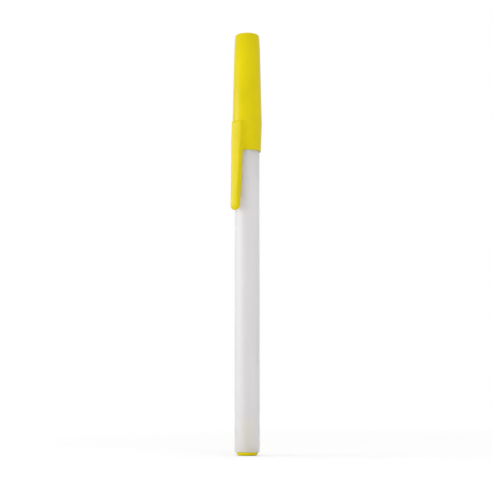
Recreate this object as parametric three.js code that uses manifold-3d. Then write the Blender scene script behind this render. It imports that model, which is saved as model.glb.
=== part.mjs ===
// A capped stick ballpoint pen, standing on its end plug. Millimetres, with +Z up the pen.
// The origin is the centre of the plug's flat end, and the clip points to -Y.

import * as THREE from 'three';
import { mergeVertices } from 'three/addons/utils/BufferGeometryUtils.js';
import Module from 'manifold-3d';

const wasm = await Module();
wasm.setup();

// Facets round the pen, round the fine parts of the point, and along a rounded edge
const SIDES = 48;
const FINE_SIDES = 32;
const EDGE_STEPS = 4;

// Clearances
const PRESS_CLEARANCE = 0.05;   // radial, between pieces pushed together for good
const CAP_CLEARANCE = 0.08;     // radial, between the cap and the barrel it slides off
const INK_CLEARANCE = 0.02;     // radial, between the ink and the walls round it
const BALL_CLEARANCE = 0.03;    // all round the ball in its seat

// Barrel, a frosted tube with a shouldered neck and a tapered nose
const BARREL_DIAMETER = 8.5;
const BARREL_WALL = 1.1;
const BARREL_LENGTH = 110.8;    // from the tail rim to the shoulder that stops the cap
const TAIL_EDGE = 0.35;
const SHOULDER_WIDTH = 0.5;
const NECK_LENGTH = 7;
const NOSE_LENGTH = 13;
const NOSE_WALL = 0.55;         // at the front face
const NOSE_BORE = 3.5;
const NOSE_BORE_LENGTH = 10;
const NOSE_BORE_LEAD = 4;       // length of the funnel from the wide bore to the nose bore

// End plug, with a head on the tail rim, a collar in the bore and a hollow stem
const PLUG_HEAD_DIAMETER = 7.4;
const PLUG_HEAD_HEIGHT = 1.2;
const PLUG_FACE_DIAMETER = 5.2;
const PLUG_RIM_HEIGHT = 0.2;    // upright band above the rounded edge of the head
const PLUG_COLLAR_LENGTH = 1.6;
const PLUG_LEAD = 0.25;
const PLUG_STEM_LENGTH = 8.9;
const PLUG_STEM_WALL = 0.35;
const TUBE_SOCKET_DEPTH = 7;

// Refill: tube, ink and the grease that follows the ink
const TUBE_DIAMETER = 2.4;
const TUBE_BORE = 1.6;
const TUBE_TAIL_GAP = 0.5;      // air gap under the open tail of the tube
const TUBE_SEAT_LENGTH = 6;     // length of tube inside the tip holder
const EMPTY_TAIL = 4;
const FOLLOWER_LENGTH = 6;

// Tip holder, pressed into the nose
const HOLDER_FLANGE = 0.8;
const HOLDER_FRONT_LENGTH = 4;
const HOLDER_FRONT_WALL = 0.5;
const INK_CHANNEL = 1;

// Brass point and its ball
const SHANK_DIAMETER = 1.6;
const SHANK_LENGTH = 6;
const POINT_COLLAR_STEP = 0.35;
const POINT_COLLAR_LENGTH = 0.6;
const POINT_CONE_LENGTH = 2.4;
const POINT_BORE = 0.6;
const LIP_WALL = 0.1;
const BALL_DIAMETER = 1;
const BALL_CATCH = 25;          // degrees past the ball's middle that the lip closes over

// Cap, one moulding with its clip
const SKIRT_GRIP = 7.6;         // length of barrel that the skirt covers
const SKIRT_HEIGHT = 10.3;
const SKIRT_FLARE = 0.38;
const SKIRT_STEP = 0.04;
const SKIRT_EDGE = 0.3;         // height of the rounded step at the top of the skirt
const MOUTH_WALL = 0.47;
const MOUTH_EDGE = 0.15;
const CAP_TAPER = 0.61;         // how far the body draws in from the skirt to the crown
const CAP_WALL = 0.95;
const CROWN_DRAW = 6;           // height over which the body curves in below the crown
const CROWN_DRAW_IN = 0.33;
const CROWN_EDGE = 0.6;
const CROWN_WALL = 1.2;
const INNER_CROWN_EDGE = 0.5;
const TIP_ROOM = 5.5;           // from the writing tip to the inside of the crown
const VENT_DIAMETER = 2.4;

// Clip
const CLIP_REACH = 20.9;        // below the mouth of the cap
const CLIP_THICKNESS = 2.05;
const CLIP_GAP_MOUTH = 0.3;     // from the barrel to the clip's inner face, at the mouth
const CLIP_GAP_TIP = 1.3;
const CLIP_BOW = 1.4;           // power by which that gap opens: 1 is straight, more is bowed
const CLIP_ROOT_STAND = 1;      // how far the clip's root stands out of the skirt
const CLIP_ROOT_WIDTH = 4;
const CLIP_ROOT_FLARE = 0.38;   // how far each side of the root spreads towards the skirt
const CLIP_MOUTH_WIDTH = 3.85;
const CLIP_TIP_WIDTH = 2.8;
const CLIP_BLEND = 3;           // height above the mouth by which the blade has become the root
const CLIP_ROOT_ROUND = 0.35;
const CLIP_ROOT_EDGE = 0.25;    // radius of the long edges where the root is
const CLIP_BLADE_EDGE = 0.55;   // and all down the blade

// Radii worked out from the sizes above
const barrelRadius = BARREL_DIAMETER / 2;
const barrelBore = barrelRadius - BARREL_WALL;
const neckRadius = barrelRadius - SHOULDER_WIDTH;
const noseBore = NOSE_BORE / 2;
const noseRadius = noseBore + NOSE_WALL;
const tubeRadius = TUBE_DIAMETER / 2;
const tubeBore = TUBE_BORE / 2;
const tubeSocket = tubeRadius + PRESS_CLEARANCE;
const shankRadius = SHANK_DIAMETER / 2;
const channelRadius = INK_CHANNEL / 2;
const pointBore = POINT_BORE / 2;
const ballRadius = BALL_DIAMETER / 2;
const seatRadius = ballRadius + BALL_CLEARANCE;
const mouthBore = barrelRadius + CAP_CLEARANCE;
const mouthRadius = mouthBore + MOUTH_WALL;
const skirtRadius = mouthRadius + SKIRT_FLARE;
const bodyRadius = skirtRadius - SKIRT_STEP;
const crownRadius = bodyRadius - CAP_TAPER;
const neckBore = neckRadius + CAP_CLEARANCE;

// Heights, each built on the one below it
const zRim = PLUG_HEAD_HEIGHT;
const zCollar = zRim + PLUG_COLLAR_LENGTH;
const zStem = zCollar + PLUG_STEM_LENGTH;
const zSocketFloor = zStem - TUBE_SOCKET_DEPTH;
const zTubeTail = zSocketFloor + TUBE_TAIL_GAP;
const zFollower = zTubeTail + EMPTY_TAIL;
const zInk = zFollower + FOLLOWER_LENGTH;
const zShoulder = zRim + BARREL_LENGTH;
const zNeck = zShoulder + NECK_LENGTH;
const zNose = zNeck + NOSE_LENGTH;
const zNoseBore = zNose - NOSE_BORE_LENGTH;
const zFlange = zNose + HOLDER_FLANGE;
const zHolder = zNose + HOLDER_FRONT_LENGTH;
const zShank = zHolder - SHANK_LENGTH;
const zCone = zHolder + POINT_COLLAR_LENGTH;
const zLip = zCone + POINT_CONE_LENGTH;
const zBall = zLip - seatRadius * Math.sin(THREE.MathUtils.degToRad(BALL_CATCH));
const zTip = zBall + ballRadius;
const zHolderTail = zNoseBore;
const zTubeEnd = zHolderTail + TUBE_SEAT_LENGTH;
const zMouth = zShoulder - SKIRT_GRIP;
const zSkirt = zMouth + SKIRT_HEIGHT;
const zCeiling = zTip + TIP_ROOM;
const zCrown = zCeiling + CROWN_WALL;
const zClipTip = zMouth - CLIP_REACH;

const yellowMoulding = { color: 0xddce05, roughness: 0.3, metalness: 0 };
const frostedPlastic = { color: 0xe6e5e6, roughness: 0.55, metalness: 0 };
const naturalTubing = { color: 0xeef0ee, roughness: 0.25, metalness: 0 };
const brass = { color: 0xc9a45a, roughness: 0.3, metalness: 1 };
const carbide = { color: 0x8c8f94, roughness: 0.15, metalness: 1 };
const blackInk = { color: 0x141416, roughness: 0.2, metalness: 0 };
const amberGrease = { color: 0xd9a24a, roughness: 0.25, metalness: 0 };

// Points of an elliptical arc in an outline, from one angle to another in degrees
function arc([centreRadius, centreHeight], [across, up], from, to, steps = EDGE_STEPS) {
  return Array.from({ length: steps + 1 }, (_, step) => {
    const angle = THREE.MathUtils.degToRad(from + ((to - from) * step) / steps);
    return [centreRadius + across * Math.cos(angle), centreHeight + up * Math.sin(angle)];
  });
}

// Points of a curve that leaves the first point towards the second and ends at the third
function bend(start, pull, end, steps = EDGE_STEPS) {
  const curve = new THREE.QuadraticBezierCurve(...[start, pull, end].map((p) => new THREE.Vector2(...p)));
  return curve.getPoints(steps).map((p) => [p.x, p.y]);
}

// Joins shared vertices and drops the triangles that close up on the axis
function welded(geometry) {
  geometry.deleteAttribute('normal');
  geometry.deleteAttribute('uv');
  const joined = mergeVertices(geometry);
  const corners = Array.from(joined.index.array);
  const kept = [];
  for (let i = 0; i < corners.length; i += 3) {
    const triangle = corners.slice(i, i + 3);
    if (new Set(triangle).size === 3) kept.push(...triangle);
  }
  joined.setIndex(kept);
  return joined;
}

// Turns an outline of [radius, height] points round Z. The outline runs anticlockwise,
// and it starts and ends on the axis or closes on itself.
function turned(outline, sides = SIDES) {
  const points = outline.map(([radius, height]) => new THREE.Vector2(radius, height));
  if (outline[0][0] > 0) points.push(points[0].clone());
  return welded(new THREE.LatheGeometry(points, sides).rotateX(Math.PI / 2));
}

// Skins a stack of sections that have the same number of points, from the lowest up.
// Each section runs anticlockwise seen from above.
function lofted(sections) {
  const ring = sections[0].length;
  const corners = [];
  for (let level = 0; level + 1 < sections.length; level += 1) {
    for (let i = 0; i < ring; i += 1) {
      const here = level * ring + i;
      const next = level * ring + ((i + 1) % ring);
      corners.push(here, next, next + ring, here, next + ring, here + ring);
    }
  }
  const top = (sections.length - 1) * ring;
  for (let i = 1; i + 1 < ring; i += 1) {
    corners.push(0, i + 1, i);
    corners.push(top, top + i, top + i + 1);
  }
  const geometry = new THREE.BufferGeometry();
  geometry.setAttribute('position', new THREE.Float32BufferAttribute(sections.flat(2), 3));
  geometry.setIndex(corners);
  return geometry;
}

// Joins two closed shapes into one solid
function joined(first, second) {
  const [a, b] = [first, second].map((geometry) => new wasm.Manifold(new wasm.Mesh({
    numProp: 3,
    vertProperties: geometry.attributes.position.array,
    triVerts: Uint32Array.from(geometry.index.array),
  })));
  const mesh = a.add(b).getMesh();
  const geometry = new THREE.BufferGeometry();
  geometry.setAttribute('position', new THREE.BufferAttribute(mesh.vertProperties, mesh.numProp));
  geometry.setIndex(new THREE.BufferAttribute(mesh.triVerts, 1));
  return geometry;
}

// The head covers the tail rim, the collar is pressed into the bore, and the stem centres the tube
function endPlug() {
  const head = PLUG_HEAD_DIAMETER / 2;
  const face = PLUG_FACE_DIAMETER / 2;
  const edgeTop = zRim - PLUG_RIM_HEIGHT;
  const collar = barrelBore - PRESS_CLEARANCE;
  const stem = tubeSocket + PLUG_STEM_WALL;
  return turned([
    [0, 0],
    ...arc([face, edgeTop], [head - face, edgeTop], -90, 0),
    [head, zRim],
    [collar, zRim],
    [collar, zCollar - PLUG_LEAD],
    [collar - PLUG_LEAD, zCollar],
    [stem, zCollar],
    [stem, zStem],
    [tubeSocket, zStem],
    [tubeSocket, zSocketFloor],
    [0, zSocketFloor],
  ]);
}

// A straight tube, then the shoulder and neck under the cap, and the nose that narrows to the point
function barrel() {
  return turned([
    [barrelBore, zRim],
    ...arc([barrelRadius - TAIL_EDGE, zRim + TAIL_EDGE], [TAIL_EDGE, TAIL_EDGE], -90, 0),
    [barrelRadius, zShoulder],
    [neckRadius, zShoulder],
    ...bend([neckRadius, zNeck], [neckRadius, zNeck + NOSE_LENGTH / 3], [noseRadius, zNose]),
    [noseBore, zNose],
    [noseBore, zNoseBore],
    [barrelBore, zNoseBore - NOSE_BORE_LEAD],
  ]);
}

// A stepped sleeve: the tube plugs in behind, and the brass point in front
function tipHolder() {
  const body = noseBore - PRESS_CLEARANCE;
  const shankSocket = shankRadius + PRESS_CLEARANCE;
  const front = shankSocket + HOLDER_FRONT_WALL;
  return turned([
    [tubeSocket, zHolderTail],
    [body, zHolderTail],
    [body, zNose],
    [noseRadius, zNose],
    [noseRadius, zFlange],
    ...bend([noseRadius - HOLDER_FRONT_WALL / 2, zFlange], [front, zFlange + HOLDER_FLANGE], [front, zHolder]),
    [shankSocket, zHolder],
    [shankSocket, zShank],
    [channelRadius, zShank],
    [channelRadius, zTubeEnd],
    [tubeSocket, zTubeEnd],
  ]);
}

function inkTube() {
  return turned([
    [tubeBore, zTubeTail],
    [tubeRadius, zTubeTail],
    [tubeRadius, zTubeEnd],
    [tubeBore, zTubeEnd],
  ]);
}

// The plug of grease that rides behind the ink and keeps it from running back
function greaseFollower() {
  const radius = tubeBore - INK_CLEARANCE;
  return turned([[0, zFollower], [radius, zFollower], [radius, zInk], [0, zInk]], FINE_SIDES);
}

// The column in the tube, then the thinner threads through the holder and the point to the ball
function ink() {
  const column = tubeBore - INK_CLEARANCE;
  const thread = channelRadius - INK_CLEARANCE;
  const feed = pointBore - INK_CLEARANCE;
  const front = zBall - seatRadius;
  return turned([
    [0, zInk],
    [column, zInk],
    [column, zTubeEnd],
    [thread, zTubeEnd],
    [thread, zShank],
    [feed, zShank],
    [feed, front],
    [0, front],
  ], FINE_SIDES);
}

// A turned brass socket whose lip is closed over the ball just past its middle
function pointSocket() {
  const collar = shankRadius + POINT_COLLAR_STEP;
  const mouth = seatRadius * Math.cos(THREE.MathUtils.degToRad(BALL_CATCH));
  const seatFloor = THREE.MathUtils.radToDeg(Math.acos(pointBore / seatRadius));
  return turned([
    [pointBore, zShank],
    [shankRadius, zShank],
    [shankRadius, zHolder],
    [collar, zHolder],
    [collar, zCone],
    [mouth + LIP_WALL, zLip],
    ...arc([0, zBall], [seatRadius, seatRadius], BALL_CATCH, -seatFloor, 2 * EDGE_STEPS),
  ], FINE_SIDES);
}

function ball() {
  return welded(new THREE.SphereGeometry(ballRadius, FINE_SIDES, FINE_SIDES / 2).rotateX(Math.PI / 2));
}

// The hollow body: skirt, tapered wall, flat vented crown, and inside it the ledge that meets
// the barrel's shoulder
function capShell() {
  const ceiling = crownRadius - CAP_WALL;
  const drawStart = zCrown - CROWN_DRAW;
  const crownCorner = crownRadius - CROWN_DRAW_IN;
  const edgeStart = zCrown - CROWN_EDGE;
  const slope = CAP_TAPER / (drawStart - zSkirt);
  const pullHeight = (drawStart + edgeStart) / 2;
  const pull = [crownRadius - slope * (pullHeight - drawStart), pullHeight];
  const vent = VENT_DIAMETER / 2;
  return turned([
    [mouthBore + MOUTH_EDGE, zMouth],
    ...arc([mouthRadius - MOUTH_EDGE, zMouth + MOUTH_EDGE], [MOUTH_EDGE, MOUTH_EDGE], -90, 0, 2),
    ...arc([bodyRadius, zSkirt - SKIRT_EDGE], [SKIRT_STEP, SKIRT_EDGE], 0, 90),
    ...bend([crownRadius, drawStart], pull, [crownCorner, edgeStart]),
    ...arc([crownCorner - CROWN_EDGE, edgeStart], [CROWN_EDGE, CROWN_EDGE], 0, 90).slice(1),
    [vent, zCrown],
    [vent, zCeiling],
    ...arc([ceiling - INNER_CROWN_EDGE, zCeiling - INNER_CROWN_EDGE],
      [INNER_CROWN_EDGE, INNER_CROWN_EDGE], 90, 0, 2),
    [neckBore, zNeck],
    [neckBore, zShoulder],
    [mouthBore, zShoulder],
    [mouthBore, zMouth + MOUTH_EDGE],
  ]);
}

// One cross-section of the clip, a rectangle with rounded corners between two radii, whose
// inner side is wider by the flare
function clipSection(height, inner, outer, halfWidth, flare, roundness) {
  const edge = Math.min(roundness, halfWidth / 2, (outer - inner) / 3);
  const corners = [
    [-halfWidth + edge, -outer + edge, 180],
    [halfWidth - edge, -outer + edge, 270],
    [halfWidth + flare - edge, -inner - edge, 0],
    [-halfWidth - flare + edge, -inner - edge, 90],
  ];
  return corners
    .flatMap(([x, y, start]) => arc([x, y], [edge, edge], start, start + 90, 3))
    .map(([x, y]) => [x, y, height]);
}

// How full a rounded end is at a distance from its very tip
function roundedEnd(distance, radius) {
  const short = Math.max(0, 1 - distance / radius);
  return Math.sqrt(1 - short * short);
}

// The blade hangs from the skirt, thins towards its tip and leans away from the barrel
function clip() {
  const tipRound = CLIP_TIP_WIDTH / 2;
  const tipCut = 0.04 * tipRound;
  const blendTop = zMouth + CLIP_BLEND;
  const rootFloor = zSkirt - CLIP_ROOT_ROUND;
  const spread = (low, high, count) => Array.from({ length: count },
    (_, i) => low + ((high - low) * i) / count);
  const heights = [
    ...[tipCut, 0.15 * tipRound, 0.35 * tipRound, 0.65 * tipRound].map((up) => zClipTip + up),
    ...spread(zClipTip + tipRound, zMouth, 5),
    ...spread(zMouth, blendTop, 4),
    blendTop,
    ...[0, 0.4, 0.7, 0.9, 1].map((share) => rootFloor + share * CLIP_ROOT_ROUND),
  ];
  return lofted(heights.map((height) => {
    const blade = Math.max(0, (zMouth - height) / CLIP_REACH);
    const swell = THREE.MathUtils.smoothstep(height, zMouth - CLIP_BLEND / 2, blendTop);
    const tip = roundedEnd(height - zClipTip, tipRound);
    const root = roundedEnd(zSkirt - height, CLIP_ROOT_ROUND);
    const gap = THREE.MathUtils.lerp(CLIP_GAP_MOUTH, CLIP_GAP_TIP, blade ** CLIP_BOW);
    const inner = barrelRadius + gap;
    const rootOuter = skirtRadius + CLIP_ROOT_STAND * root;
    const outer = THREE.MathUtils.lerp(inner + CLIP_THICKNESS, rootOuter, swell);
    const width = THREE.MathUtils.lerp(
      THREE.MathUtils.lerp(CLIP_MOUTH_WIDTH, CLIP_TIP_WIDTH, blade), CLIP_ROOT_WIDTH, swell);
    const middle = (inner + outer) / 2;
    const half = ((outer - inner) / 2) * tip;
    const edge = THREE.MathUtils.lerp(CLIP_BLADE_EDGE, CLIP_ROOT_EDGE, swell);
    return clipSection(
      height, middle - half, middle + half, (width / 2) * tip, swell * CLIP_ROOT_FLARE, edge);
  }));
}

function named(name, geometry, look) {
  const mesh = new THREE.Mesh(geometry, new THREE.MeshStandardMaterial(look));
  mesh.name = name;
  return mesh;
}

const pen = new THREE.Group();
pen.add(
  named('end_plug', endPlug(), yellowMoulding),
  named('barrel', barrel(), frostedPlastic),
  named('ink_tube', inkTube(), naturalTubing),
  named('grease_follower', greaseFollower(), amberGrease),
  named('ink', ink(), blackInk),
  named('tip_holder', tipHolder(), frostedPlastic),
  named('point_socket', pointSocket(), brass),
  named('cap', joined(capShell(), clip()), yellowMoulding),
);

const writingBall = named('ball', ball(), carbide);
writingBall.position.z = zBall;
pen.add(writingBall);

export default pen;
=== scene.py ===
"""The looks of a capped stick ballpoint pen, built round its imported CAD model.

Metres, in the CAD frame: the pen stands on its end plug at the origin, and its clip points to -Y.
"""

import math

import bmesh
import bpy
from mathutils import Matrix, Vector


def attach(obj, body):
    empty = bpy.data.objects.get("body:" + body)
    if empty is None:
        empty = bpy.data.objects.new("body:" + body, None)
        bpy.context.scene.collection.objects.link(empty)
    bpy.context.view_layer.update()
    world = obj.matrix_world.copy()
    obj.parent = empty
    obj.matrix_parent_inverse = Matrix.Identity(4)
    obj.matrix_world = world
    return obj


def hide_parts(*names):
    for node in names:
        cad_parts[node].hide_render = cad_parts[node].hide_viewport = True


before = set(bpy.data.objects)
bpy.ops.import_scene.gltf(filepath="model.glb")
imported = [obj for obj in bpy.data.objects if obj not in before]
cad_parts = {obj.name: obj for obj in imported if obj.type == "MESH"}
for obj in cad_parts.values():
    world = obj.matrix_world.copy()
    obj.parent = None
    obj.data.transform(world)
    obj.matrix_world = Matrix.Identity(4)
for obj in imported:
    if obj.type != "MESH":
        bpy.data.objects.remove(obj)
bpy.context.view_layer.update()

# Camera: it stands low in front of the pen, turned towards the clip's right side, and looks
# slightly up, as the photograph was taken. Its aim passes just left of the pen's axis.
CAMERA_TURN = math.radians(40)
CAMERA_TILT = math.radians(6.633)
CAMERA_DISTANCE = 0.460
CAMERA_HEIGHT = 0.018
CAMERA_OFFSET = 0.0004
CAMERA_LENS = 98.25

camera_data = bpy.data.cameras.new("camera")
camera_data.lens = CAMERA_LENS
camera_data.clip_start = 0.01
camera_data.clip_end = 50
camera = bpy.data.objects.new("camera", camera_data)
camera_side = Vector((math.cos(CAMERA_TURN), math.sin(CAMERA_TURN), 0))
camera_back = Vector((math.sin(CAMERA_TURN), -math.cos(CAMERA_TURN), 0))
camera.location = camera_back * CAMERA_DISTANCE - camera_side * CAMERA_OFFSET
camera.location.z = CAMERA_HEIGHT
camera.rotation_euler = (math.pi / 2 + CAMERA_TILT, 0, CAMERA_TURN)
bpy.context.scene.collection.objects.link(camera)
bpy.context.scene.camera = camera

# End plug: a stopper of glossy yellow polypropylene, injection-moulded in one shot. Its head
# covers the tail rim, its collar is pressed into the bore, and its hollow stem centres the
# ink tube.
MM = 0.001
SPIN_STEPS = 96
ROUND_STEPS = 6
SHARP_ANGLE = math.radians(32)
MERGE = 0.001

PLUG_HEAD = 3.7
PLUG_HEAD_TOP = 1.2
PLUG_COLLAR = 3.1
PLUG_COLLAR_TOP = 2.8
PLUG_STEM = 1.6
PLUG_STEM_TOP = 11.7
PLUG_SOCKET = 1.25
PLUG_SOCKET_FLOOR = 4.7


def shown(name, shape):
    """Makes a smooth-shaded object of a finished bmesh, with its hard edges kept sharp."""
    mesh = bpy.data.meshes.new(name)
    shape.to_mesh(mesh)
    shape.free()
    mesh.polygons.foreach_set("use_smooth", [True] * len(mesh.polygons))
    mesh.set_sharp_from_angle(angle=SHARP_ANGLE)
    piece = bpy.data.objects.new(name, mesh)
    bpy.context.scene.collection.objects.link(piece)
    return piece


def turned(corners):
    """Spins a closed outline round the pen's axis. Each corner is a radius, a height and the
    rounding of that corner, all in millimetres."""
    shape = bmesh.new()
    points = [shape.verts.new((radius * MM, 0, height * MM)) for radius, height, _ in corners]
    for start, end in zip(points, points[1:] + points[:1]):
        if start.co.x > 0 or end.co.x > 0:
            shape.edges.new((start, end))
    for point, (_, _, rounding) in zip(points, corners):
        if rounding:
            bmesh.ops.bevel(
                shape, geom=[point], affect="VERTICES", offset=rounding * MM,
                segments=ROUND_STEPS, profile=0.5, material=-1,
            )
    bmesh.ops.spin(
        shape, geom=shape.verts[:] + shape.edges[:], axis=(0, 0, 1), cent=(0, 0, 0),
        angle=2 * math.pi, steps=SPIN_STEPS, use_merge=True,
    )
    bmesh.ops.remove_doubles(shape, verts=shape.verts, dist=MERGE * MM)
    bmesh.ops.recalc_face_normals(shape, faces=shape.faces)
    return shape


def linear(colour):
    """A colour written as an sRGB hex string, as the linear values that a shader takes."""
    parts = [int(colour[i:i + 2], 16) / 255 for i in (1, 3, 5)]
    return (*[c / 12.92 if c <= 0.04045 else ((c + 0.055) / 1.055) ** 2.4 for c in parts], 1)


def add_node(tree, kind, inputs=None, **settings):
    """Adds a node. An input that is another node's socket is linked, and a value is set."""
    made = tree.nodes.new(kind)
    for name, value in settings.items():
        setattr(made, name, value)
    for name, value in (inputs or {}).items():
        if isinstance(value, bpy.types.NodeSocket):
            tree.links.new(value, made.inputs[name])
        else:
            made.inputs[name].default_value = value
    return made


def new_material(name):
    """An empty material: it, its node tree, and the piece's own coordinates in metres."""
    material = bpy.data.materials.new(name)
    material.use_nodes = True
    material.node_tree.nodes.clear()
    place = add_node(material.node_tree, "ShaderNodeTexCoord").outputs["Object"]
    return material, material.node_tree, place


def shades(ramp, *stops):
    """Sets a colour ramp's two stops, each a position and a hex colour, and gives its colour."""
    for element, (position, colour) in zip(ramp.color_ramp.elements, stops):
        element.position = position
        element.color = linear(colour)
    return ramp.outputs["Color"]


plug = shown("end_plug_moulding", turned([
    (0, 0, 0),
    (PLUG_HEAD, 0, 1.1),
    (PLUG_HEAD, PLUG_HEAD_TOP, 0.06),
    (PLUG_COLLAR, PLUG_HEAD_TOP, 0),
    (PLUG_COLLAR, PLUG_COLLAR_TOP, 0.25),
    (PLUG_STEM, PLUG_COLLAR_TOP, 0.2),
    (PLUG_STEM, PLUG_STEM_TOP, 0.1),
    (PLUG_SOCKET, PLUG_STEM_TOP, 0.1),
    (PLUG_SOCKET, PLUG_SOCKET_FLOOR, 0.1),
    (0, PLUG_SOCKET_FLOOR, 0),
]))

# Injection-moulded yellow polypropylene: a strong opaque colour, glossy from a polished
# tool, with the faint waviness of a thin moulding and the dull patches that fingers leave
yellow, tree, place = new_material("yellow_polypropylene_moulded")
flow = add_node(tree, "ShaderNodeTexNoise", {"Vector": place, "Scale": 90, "Detail": 2})
waves = add_node(tree, "ShaderNodeTexNoise", {"Vector": place, "Scale": 420, "Detail": 1})
handling = add_node(tree, "ShaderNodeTexNoise", {"Vector": place, "Scale": 140, "Detail": 4})
tint = add_node(tree, "ShaderNodeValToRGB", {"Fac": flow.outputs["Fac"]})
gloss = add_node(tree, "ShaderNodeMapRange", {
    "Value": handling.outputs["Fac"], "From Min": 0.35, "From Max": 0.7,
    "To Min": 0.08, "To Max": 0.15,
})
ripple = add_node(tree, "ShaderNodeBump", {
    "Height": waves.outputs["Fac"], "Strength": 0.3, "Distance": 0.01 * MM,
})
surface = add_node(tree, "ShaderNodeBsdfPrincipled", {
    "Base Color": shades(tint, (0.3, "#D7C500"), (0.7, "#E0CE00")),
    "Roughness": gloss.outputs["Result"],
    "Normal": ripple.outputs["Normal"],
    "IOR": 1.49,
    "Specular IOR Level": 0.12,
})
add_node(tree, "ShaderNodeOutputMaterial", {"Surface": surface.outputs["BSDF"]})
plug.data.materials.append(yellow)
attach(plug, "pen")
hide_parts("end_plug")

# Barrel: one tube of natural polypropylene, injection-moulded in a blasted tool that leaves
# it frosted. A shoulder stops the cap, a thinner neck carries it, and the nose narrows to
# the tip holder.
BARREL = 4.25
BARREL_BORE = 3.15
BARREL_TAIL = 1.2
SHOULDER_HEIGHT = 112
NECK = 3.75
NOSE_START = 119
NOSE_END = 132
NOSE = 2.3
NOSE_BORE = 1.75
NOSE_BORE_TAIL = 122
NOSE_BORE_LEAD = 4

barrel = shown("barrel_moulding", turned([
    (BARREL_BORE, BARREL_TAIL, 0),
    (BARREL, BARREL_TAIL, 0.35),
    (BARREL, SHOULDER_HEIGHT, 0.12),
    (NECK, SHOULDER_HEIGHT, 0.12),
    (NECK, NOSE_START + (NOSE_END - NOSE_START) / 3, 4.3),
    (NOSE, NOSE_END, 0),
    (NOSE_BORE, NOSE_END, 0),
    (NOSE_BORE, NOSE_BORE_TAIL, 0.5),
    (BARREL_BORE, NOSE_BORE_TAIL - NOSE_BORE_LEAD, 0.5),
]))

# Frosted natural polypropylene: milky, so that what is inside shows only as a soft shadow.
# The blasted tool's 0.2 mm grain, drawn at 0.6 mm so that it shows, scatters the highlight.
frosted, tree, place = new_material("frosted_natural_polypropylene")
grain = add_node(tree, "ShaderNodeTexNoise", {"Vector": place, "Scale": 1600, "Detail": 3})
along = add_node(tree, "ShaderNodeMapping", {"Vector": place, "Scale": (1, 1, 0.05)})
melt = add_node(tree, "ShaderNodeTexNoise", {"Vector": along.outputs["Vector"], "Scale": 260})
tint = add_node(tree, "ShaderNodeValToRGB", {"Fac": melt.outputs["Fac"]})
frost = add_node(tree, "ShaderNodeMapRange", {
    "Value": grain.outputs["Fac"], "From Min": 0.3, "From Max": 0.7,
    "To Min": 0.33, "To Max": 0.43,
})
blasting = add_node(tree, "ShaderNodeBump", {
    "Height": grain.outputs["Fac"], "Strength": 0.25, "Distance": 0.01 * MM,
})
surface = add_node(tree, "ShaderNodeBsdfPrincipled", {
    "Base Color": shades(tint, (0.3, "#F9F7F8"), (0.7, "#FDFBFC")),
    "Roughness": frost.outputs["Result"],
    "Normal": blasting.outputs["Normal"],
    "IOR": 1.49,
    "Specular IOR Level": 0.12,
    "Transmission Weight": 0.58,
})
add_node(tree, "ShaderNodeOutputMaterial", {"Surface": surface.outputs["BSDF"]})
barrel.data.materials.append(frosted)
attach(barrel, "pen")
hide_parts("barrel")

# Ink tube: a milky polypropylene tube, extruded and cut to length. The plug's stem holds its
# tail and the tip holder its front end, so the CAD's plain tube is its real shape.
tubing, tree, place = new_material("natural_polypropylene_tubing")
along = add_node(tree, "ShaderNodeMapping", {"Vector": place, "Scale": (1, 1, 0.01)})
die_lines = add_node(tree, "ShaderNodeTexNoise", {
    "Vector": along.outputs["Vector"], "Scale": 2500, "Detail": 2,
})
tint = add_node(tree, "ShaderNodeValToRGB", {"Fac": die_lines.outputs["Fac"]})
drawn = add_node(tree, "ShaderNodeBump", {
    "Height": die_lines.outputs["Fac"], "Strength": 0.4, "Distance": 0.01 * MM,
})
surface = add_node(tree, "ShaderNodeBsdfPrincipled", {
    "Base Color": shades(tint, (0.3, "#E8ECEA"), (0.7, "#F6F8F7")),
    "Roughness": 0.2,
    "Normal": drawn.outputs["Normal"],
    "IOR": 1.49,
    "Transmission Weight": 0.25,
})
add_node(tree, "ShaderNodeOutputMaterial", {"Surface": surface.outputs["BSDF"]})


def finished(node, material):
    """Gives a CAD node whose shape is right its material."""
    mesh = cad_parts[node].data
    mesh.materials.clear()
    mesh.materials.append(material)


finished("ink_tube", tubing)

# Ink: a column of black ballpoint paste that fills the tube and the channel to the ball.
# It is thick and wet, with slow swirls where it crept along the wall.
paste, tree, place = new_material("black_ballpoint_paste")
swirls = add_node(tree, "ShaderNodeTexNoise", {"Vector": place, "Scale": 600, "Distortion": 1})
tint = add_node(tree, "ShaderNodeValToRGB", {"Fac": swirls.outputs["Fac"]})
creep = add_node(tree, "ShaderNodeBump", {
    "Height": swirls.outputs["Fac"], "Strength": 0.2, "Distance": 0.02 * MM,
})
surface = add_node(tree, "ShaderNodeBsdfPrincipled", {
    "Base Color": shades(tint, (0.35, "#131315"), (0.7, "#222226")),
    "Roughness": 0.15,
    "Normal": creep.outputs["Normal"],
    "IOR": 1.48,
})
add_node(tree, "ShaderNodeOutputMaterial", {"Surface": surface.outputs["BSDF"]})
finished("ink", paste)

# Grease follower: a short plug of clear amber grease behind the ink, injected after filling.
# It keeps the ink from running back, and small bubbles are trapped in it.
grease, tree, place = new_material("amber_follower_grease")
bubbles = add_node(tree, "ShaderNodeTexVoronoi", {"Vector": place, "Scale": 2200})
tint = add_node(tree, "ShaderNodeValToRGB", {"Fac": bubbles.outputs["Distance"]})
surface = add_node(tree, "ShaderNodeBsdfPrincipled", {
    "Base Color": shades(tint, (0.1, "#F0CC8C"), (0.3, "#D9A24A")),
    "Roughness": 0.25,
    "IOR": 1.47,
    "Transmission Weight": 0.5,
})
add_node(tree, "ShaderNodeOutputMaterial", {"Surface": surface.outputs["BSDF"]})
finished("grease_follower", grease)

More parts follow.
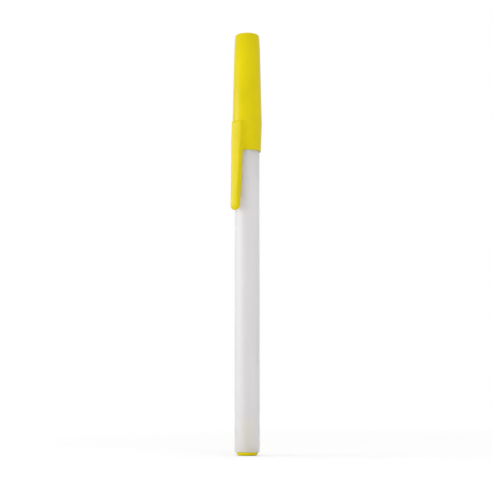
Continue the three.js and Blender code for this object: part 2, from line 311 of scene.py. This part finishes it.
# Tip holder: a stepped sleeve of the barrel's frosted polypropylene, moulded separately and
# pressed into the nose. The ink tube plugs in behind and the brass point in front.
HOLDER_BODY = 1.7
HOLDER_TAIL = 122
HOLDER_FLANGE_TOP = 132.8
HOLDER_FRONT = 1.35
HOLDER_TOP = 136
HOLDER_SOCKET = 0.85
HOLDER_SOCKET_FLOOR = 130
INK_CHANNEL = 0.5
TUBE_SOCKET = 1.25
TUBE_END = 128

holder = shown("tip_holder_moulding", turned([
    (TUBE_SOCKET, HOLDER_TAIL, 0.05),
    (HOLDER_BODY, HOLDER_TAIL, 0.15),
    (HOLDER_BODY, NOSE_END, 0),
    (NOSE, NOSE_END, 0.05),
    (NOSE, HOLDER_FLANGE_TOP, 0.15),
    (NOSE - 0.25, HOLDER_FLANGE_TOP, 0.1),
    (HOLDER_FRONT, HOLDER_FLANGE_TOP + 0.8, 0.7),
    (HOLDER_FRONT, HOLDER_TOP, 0.15),
    (HOLDER_SOCKET, HOLDER_TOP, 0),
    (HOLDER_SOCKET, HOLDER_SOCKET_FLOOR, 0),
    (INK_CHANNEL, HOLDER_SOCKET_FLOOR, 0),
    (INK_CHANNEL, TUBE_END, 0),
    (TUBE_SOCKET, TUBE_END, 0),
]))
holder.data.materials.append(frosted)
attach(holder, "pen")
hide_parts("tip_holder")

# Point: a socket turned from brass wire, pressed into the holder. A collar stops it, and
# the lip at its tip is spun closed round the ball.
POINT_BORE = 0.3
POINT_SHANK = 0.8
POINT_COLLAR = 1.15
POINT_COLLAR_TOP = 136.6
POINT_LIP = 139.0
LIP_OUTER = 0.58
LIP_INNER = 0.48
SEAT_CORNER = 0.67
SEAT_CORNER_HEIGHT = 138.593
SEAT_ROUNDING = 0.44
SEAT_FLOOR = 138.339

point = shown("point_socket_turning", turned([
    (POINT_BORE, HOLDER_SOCKET_FLOOR, 0.05),
    (POINT_SHANK, HOLDER_SOCKET_FLOOR, 0.15),
    (POINT_SHANK, HOLDER_TOP, 0),
    (POINT_COLLAR, HOLDER_TOP, 0.05),
    (POINT_COLLAR, POINT_COLLAR_TOP, 0.12),
    (LIP_OUTER, POINT_LIP, 0.04),
    (LIP_INNER, POINT_LIP, 0),
    (SEAT_CORNER, SEAT_CORNER_HEIGHT, SEAT_ROUNDING),
    (POINT_BORE, SEAT_FLOOR, 0),
]))

# Turned brass: a warm yellow metal with rings 0.05 mm apart left by the tool, drawn at
# 0.15 mm so that they show, and a thin brown tarnish in places
brass, tree, place = new_material("turned_brass")
rings = add_node(tree, "ShaderNodeTexWave", {
    "Vector": place, "Scale": 2100, "Distortion": 0.3,
}, bands_direction="Z")
tarnish = add_node(tree, "ShaderNodeTexNoise", {"Vector": place, "Scale": 900, "Detail": 4})
tint = add_node(tree, "ShaderNodeValToRGB", {"Fac": tarnish.outputs["Fac"]})
polish = add_node(tree, "ShaderNodeMapRange", {
    "Value": tarnish.outputs["Fac"], "To Min": 0.18, "To Max": 0.42,
})
tool_marks = add_node(tree, "ShaderNodeBump", {
    "Height": rings.outputs["Fac"], "Strength": 0.35, "Distance": 0.006 * MM,
})
surface = add_node(tree, "ShaderNodeBsdfPrincipled", {
    "Base Color": shades(tint, (0.35, "#D8B568"), (0.75, "#B98F45")),
    "Metallic": 1,
    "Roughness": polish.outputs["Result"],
    "Normal": tool_marks.outputs["Normal"],
})
add_node(tree, "ShaderNodeOutputMaterial", {"Surface": surface.outputs["BSDF"]})
point.data.materials.append(brass)
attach(point, "pen")
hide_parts("point_socket")

# Ball: a 1 mm bead of sintered tungsten carbide, ground round. It turns in the socket and
# carries the ink, so a black film lies over its grey metal.
BALL = 0.5
BALL_HEIGHT = 138.776
BALL_DETAIL = 4

shape = bmesh.new()
bmesh.ops.create_icosphere(shape, subdivisions=BALL_DETAIL, radius=BALL * MM)
bmesh.ops.translate(shape, verts=shape.verts, vec=(0, 0, BALL_HEIGHT * MM))
ball = shown("writing_ball", shape)

# Ground tungsten carbide: dark grey metal, dulled by 0.02 mm pits that hold the ink, which
# are drawn at 0.1 mm so that they show
carbide, tree, place = new_material("ground_tungsten_carbide")
pits = add_node(tree, "ShaderNodeTexVoronoi", {"Vector": place, "Scale": 9000})
film = add_node(tree, "ShaderNodeTexNoise", {"Vector": place, "Scale": 1800, "Detail": 3})
tint = add_node(tree, "ShaderNodeValToRGB", {"Fac": film.outputs["Fac"]})
pitting = add_node(tree, "ShaderNodeBump", {
    "Height": pits.outputs["Distance"], "Strength": 0.2, "Distance": 0.004 * MM,
})
surface = add_node(tree, "ShaderNodeBsdfPrincipled", {
    "Base Color": shades(tint, (0.4, "#8C8F94"), (0.6, "#2A2B2E")),
    "Metallic": 1,
    "Roughness": 0.16,
    "Normal": pitting.outputs["Normal"],
})
add_node(tree, "ShaderNodeOutputMaterial", {"Surface": surface.outputs["BSDF"]})
ball.data.materials.append(carbide)
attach(ball, "ball")
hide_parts("ball")

# Cap: one moulding of the plug's yellow polypropylene. A thin skirt slides over the barrel, a
# ledge inside it meets the barrel's shoulder, and a vent goes through the flat crown. The clip
# grows out of the skirt over a small fillet, and leans away from the barrel as it thins.
CAP_MOUTH = 104.4
CAP_BORE = 4.33
MOUTH_OUTER = 4.8
SKIRT = 5.18
SKIRT_TOP = 114.7
SKIRT_EDGE = 0.3
CAP_BODY = 5.14
NECK_BORE = 3.83
CEILING_RADIUS = 3.58
CEILING = 144.776
CROWN = 145.976
CROWN_DRAW = 4.465
CROWN_DRAW_HEIGHT = 142.676
CROWN_DRAW_ROUNDING = 2.7
CROWN_EDGE = 4.141
CROWN_EDGE_ROUNDING = 0.6
VENT = 1.2

CLIP_TIP = 83.3
CLIP_TOP = 114.58
CLIP_THICKNESS = 2.05
CLIP_GAP_MOUTH = 0.3         # from the barrel to the blade, at the cap's mouth
CLIP_GAP_TIP = 1.3
CLIP_BOW = 1.4               # power by which that gap opens towards the tip
CLIP_MOUTH_WIDTH = 4.1
CLIP_TIP_WIDTH = 3.1
CLIP_TIP_DRAW = 2.6          # height over which the tip thins out
CLIP_CROWN = 0.28            # how far the outer face bulges between its long edges
CLIP_BLEND = 3               # height above the mouth by which the blade has become the root
CLIP_ROOT_WIDTH = 4.2
CLIP_ROOT_DRAFT = 0.5        # how far each side of the root spreads towards the skirt
CLIP_ROOT_STAND = 1.0        # how far the root stands out of the skirt
CLIP_ROOT_REACH = 4.7        # radius at which the root ends, inside the skirt's wall
CLIP_ROOT_ROUND = 0.35
CLIP_FILLET = 0.5
CLIP_FILLET_SINK = 0.04      # how deep the fillet's foot goes into the wall, for a clean join
CLIP_ROOT_SOFTNESS = 0.14    # of the long edges: 0 is a rectangle's and 1 is an ellipse's
CLIP_BLADE_SOFTNESS = 0.24
CLIP_SEGMENTS = 40
CLIP_FLANK_CUTS = 7
CLIP_FLANK_CROWDING = 6      # power that draws the cuts to the middle of each flank
CLIP_TIP_CUT = 0.1           # share of the tip's rounding left out, where its sides would meet
CLIP_TIP_LEVELS = 12
CLIP_LEVELS = 44
CLIP_ROOT_LEVELS = 4
CLIP_MERGE = 0.002

shell = shown("cap_shell", turned([
    (CAP_BORE, CAP_MOUTH, 0.12),
    (MOUTH_OUTER, CAP_MOUTH, 0.15),
    (SKIRT, SKIRT_TOP - SKIRT_EDGE, 0.13),
    (CAP_BODY, SKIRT_TOP, 0.06),
    (CROWN_DRAW, CROWN_DRAW_HEIGHT, CROWN_DRAW_ROUNDING),
    (CROWN_EDGE, CROWN, CROWN_EDGE_ROUNDING),
    (VENT, CROWN, 0.12),
    (VENT, CEILING, 0.12),
    (CEILING_RADIUS, CEILING, 0.5),
    (NECK_BORE, NOSE_START, 0.5),
    (NECK_BORE, SHOULDER_HEIGHT, 0.08),
    (CAP_BORE, SHOULDER_HEIGHT, 0.08),
]))


def eased(value, low, high):
    """How far a value is from low to high, with a smooth start and end."""
    share = min(1, max(0, (value - low) / (high - low)))
    return share * share * (3 - 2 * share)


def fullness(distance, radius):
    """How full a rounded end is at a distance from its very tip."""
    return math.sqrt(1 - max(0, 1 - distance / radius) ** 2)


def squared(value, softness):
    """Moves a circle's coordinate towards the square round it. Less softness is squarer."""
    return math.copysign(abs(value) ** softness, value)


def filleted(distance, radius):
    """How far a concave fillet stands out from a wall at a distance from the floor it meets."""
    gap = radius - min(radius, max(0, distance))
    return radius - math.sqrt(radius ** 2 - gap ** 2)


# The clip's section starts as a circle and is squared at each level. Squaring spreads the
# points of its two flanks, so they get more of them, crowded towards the middle.
shape = bmesh.new()
bmesh.ops.create_circle(shape, cap_ends=False, segments=CLIP_SEGMENTS, radius=1)
flanks = [
    edge for edge in shape.edges
    if any(math.isclose(end.co.y, 0, abs_tol=1e-6) for end in edge.verts)
]
bmesh.ops.subdivide_edges(shape, edges=flanks, cuts=CLIP_FLANK_CUTS)
flank_end = math.sin(2 * math.pi / CLIP_SEGMENTS)
for vertex in shape.verts:
    share = abs(vertex.co.y) / flank_end
    if share < 1:
        vertex.co.y = math.copysign(flank_end * share ** CLIP_FLANK_CROWDING, vertex.co.y)
section = bmesh.ops.contextual_create(shape, geom=shape.edges[:])["faces"][0]
outline = [vertex.co.copy() for vertex in section.verts]

# The levels run from the tip up, and crowd where the tip and the root's top are rounded
tip_round = CLIP_TIP_WIDTH / 2
draw_top = CLIP_TIP + CLIP_TIP_DRAW
root_floor = CLIP_TOP - CLIP_ROOT_ROUND
heights = []
for i in range(CLIP_TIP_LEVELS):
    share = CLIP_TIP_CUT + (1 - CLIP_TIP_CUT) * i / CLIP_TIP_LEVELS
    heights.append(draw_top - CLIP_TIP_DRAW * math.cos(math.pi / 2 * share))
for i in range(CLIP_LEVELS):
    heights.append(draw_top + (root_floor - draw_top) * i / CLIP_LEVELS)
for i in range(CLIP_ROOT_LEVELS + 1):
    rise = math.sin(math.pi / 2 * i / CLIP_ROOT_LEVELS)
    heights.append(CLIP_TOP - CLIP_ROOT_ROUND * (1 - rise))

# Each level grows from the face of the one below, which goes so that none is left inside. The
# blade turns into the root as the swell goes from 0 to 1, and the fillet then spreads the
# root's sides round the skirt.
for level, height in enumerate(heights):
    if level:
        grown = bmesh.ops.extrude_face_region(shape, geom=[section])["geom"]
        if level > 1:
            shape.faces.remove(section)
        section = next(part for part in grown if isinstance(part, bmesh.types.BMFace))
    blade = max(0, (CAP_MOUTH - height) / (CAP_MOUTH - CLIP_TIP))
    swell = eased(height, CAP_MOUTH - CLIP_BLEND / 2, CAP_MOUTH + CLIP_BLEND)
    lean = eased(height, CAP_MOUTH - CLIP_BLEND / 2, root_floor)
    tip = fullness(height - CLIP_TIP, tip_round)
    tip_depth = fullness(height - CLIP_TIP, CLIP_TIP_DRAW)
    root = fullness(CLIP_TOP - height, CLIP_ROOT_ROUND)
    inner = BARREL + CLIP_GAP_MOUTH + (CLIP_GAP_TIP - CLIP_GAP_MOUTH) * blade ** CLIP_BOW
    blade_outer = inner + CLIP_THICKNESS
    outer = blade_outer + (SKIRT + CLIP_ROOT_STAND * root - blade_outer) * lean
    blade_width = CLIP_MOUTH_WIDTH + (CLIP_TIP_WIDTH - CLIP_MOUTH_WIDTH) * blade
    width = blade_width + (CLIP_ROOT_WIDTH - blade_width) * swell
    softness = CLIP_BLADE_SOFTNESS + (CLIP_ROOT_SOFTNESS - CLIP_BLADE_SOFTNESS) * swell
    skirt = MOUTH_OUTER + (SKIRT - MOUTH_OUTER) * (height - CAP_MOUTH) / (SKIRT_TOP - CAP_MOUTH)
    for vertex, start in zip(section.verts, outline):
        across = squared(start.x, softness)
        inward = squared(start.y, softness)
        depth = (1 + inward) / 2
        crown = CLIP_CROWN * across ** 2 * (1 - depth)
        aside = across * (width / 2 * tip + swell * CLIP_ROOT_DRAFT * depth)
        blade_out = (inner + outer) / 2 - (inward * (outer - inner) / 2 + crown) * tip_depth
        root_out = outer - crown - depth * (outer - math.sqrt(CLIP_ROOT_REACH ** 2 - aside ** 2))
        out = blade_out + (root_out - blade_out) * swell
        away = math.hypot(aside, out)
        turn = math.atan2(aside, out)
        turn += across * swell * filleted(away - skirt + CLIP_FILLET_SINK, CLIP_FILLET) / away
        vertex.co = (away * math.sin(turn) * MM, -away * math.cos(turn) * MM, height * MM)
bmesh.ops.recalc_face_normals(shape, faces=shape.faces)

# Triangles join the shell without slivers, which the clip's slightly bent quads would leave
bmesh.ops.triangulate(shape, faces=shape.faces)
clip = shown("clip", shape)

weld = shell.modifiers.new("clip joined", "BOOLEAN")
weld.operation = "UNION"
weld.solver = "EXACT"
weld.object = clip
shape = bmesh.new()
shape.from_object(shell, bpy.context.evaluated_depsgraph_get())
bmesh.ops.remove_doubles(shape, verts=shape.verts, dist=CLIP_MERGE * MM)
bpy.data.objects.remove(shell)
bpy.data.objects.remove(clip)
cap = shown("cap_moulding", shape)
cap.data.materials.append(yellow)
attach(cap, "cap")
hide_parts("cap")

# Floor and light: a plain pale floor and a white surround, lifted to white only where the
# camera sees them, straight, mirrored or through the barrel. A soft box on the left draws the
# long highlight, and two weaker ones, kept out of reflections, fill the front and the top.
FLOOR_SIZE = 4.0
PEN_MIDDLE = 0.073

floor_mesh = bpy.data.meshes.new("floor")
shape = bmesh.new()
bmesh.ops.create_grid(shape, x_segments=1, y_segments=1, size=FLOOR_SIZE / 2)
shape.to_mesh(floor_mesh)
shape.free()
floor = bpy.data.objects.new("floor", floor_mesh)
bpy.context.scene.collection.objects.link(floor)


def seen(tree):
    """1 for what the camera sees, straight or in a reflection or through glass, and else 0."""
    path = add_node(tree, "ShaderNodeLightPath").outputs
    pair = add_node(tree, "ShaderNodeMath", {0: path["Is Camera Ray"], 1: path["Is Glossy Ray"]},
                    operation="MAXIMUM")
    return add_node(tree, "ShaderNodeMath", {0: pair.outputs[0], 1: path["Is Transmission Ray"]},
                    operation="MAXIMUM").outputs[0]


paper, tree, place = new_material("matte_white_paper")
fibres = add_node(tree, "ShaderNodeTexNoise", {"Vector": place, "Scale": 800, "Detail": 3})
tint = add_node(tree, "ShaderNodeValToRGB", {"Fac": fibres.outputs["Fac"]})
diffuse = add_node(tree, "ShaderNodeBsdfDiffuse", {
    "Color": shades(tint, (0.3, "#F0F0F0"), (0.7, "#F4F4F4")),
})
away = add_node(tree, "ShaderNodeVectorMath", {0: place}, operation="LENGTH")
fill = add_node(tree, "ShaderNodeMapRange", {
    "Value": away.outputs["Value"], "From Max": 1.5, "To Min": 0.15, "To Max": 0.58,
}, interpolation_type="SMOOTHSTEP")
lift = add_node(tree, "ShaderNodeMath", {0: seen(tree), 1: fill.outputs["Result"]},
                operation="MULTIPLY")
glow = add_node(tree, "ShaderNodeEmission", {"Strength": lift.outputs[0]})
both = add_node(tree, "ShaderNodeAddShader", {0: diffuse.outputs[0], 1: glow.outputs[0]})
add_node(tree, "ShaderNodeOutputMaterial", {"Surface": both.outputs[0]})
floor.data.materials.append(paper)

world = bpy.data.worlds.new("studio")
world.use_nodes = True
tree = world.node_tree
tree.nodes.clear()
room = add_node(tree, "ShaderNodeMapRange", {"Value": seen(tree), "To Min": 0.52, "To Max": 1.0})
air = add_node(tree, "ShaderNodeBackground", {"Strength": room.outputs["Result"]})
air.inputs["Color"].default_value = linear("#FFFFFF")
add_node(tree, "ShaderNodeOutputWorld", {"Surface": air.outputs[0]})
bpy.context.scene.world = world
bpy.context.scene.view_settings.view_transform = "Standard"


def soft_box(name, turn, distance, height, size, power, reflected):
    """An area lamp that faces the middle of the pen, a turn in degrees to the right of the
    camera, and its distance from the pen's axis. It may be kept out of reflections."""
    turn = math.radians(turn)
    place = (camera_back * math.cos(turn) + camera_side * math.sin(turn)) * distance
    place.z = height
    lamp = bpy.data.lights.new(name, "AREA")
    lamp.shape = "RECTANGLE"
    lamp.size, lamp.size_y = size
    lamp.energy = power
    box = bpy.data.objects.new(name, lamp)
    box.location = place
    aim = Vector((0, 0, PEN_MIDDLE)) - place
    box.rotation_euler = aim.to_track_quat("-Z", "Y").to_euler()
    box.visible_glossy = reflected
    bpy.context.scene.collection.objects.link(box)


soft_box("left soft box", -84, 1.2, 0.22, (1.1, 0.5), 7.4, True)
soft_box("front soft box", 16, 1.2, 0.45, (0.8, 0.5), 4.2, False)
soft_box("top soft box", 0, 0, 1.4, (0.9, 0.9), 6.0, False)
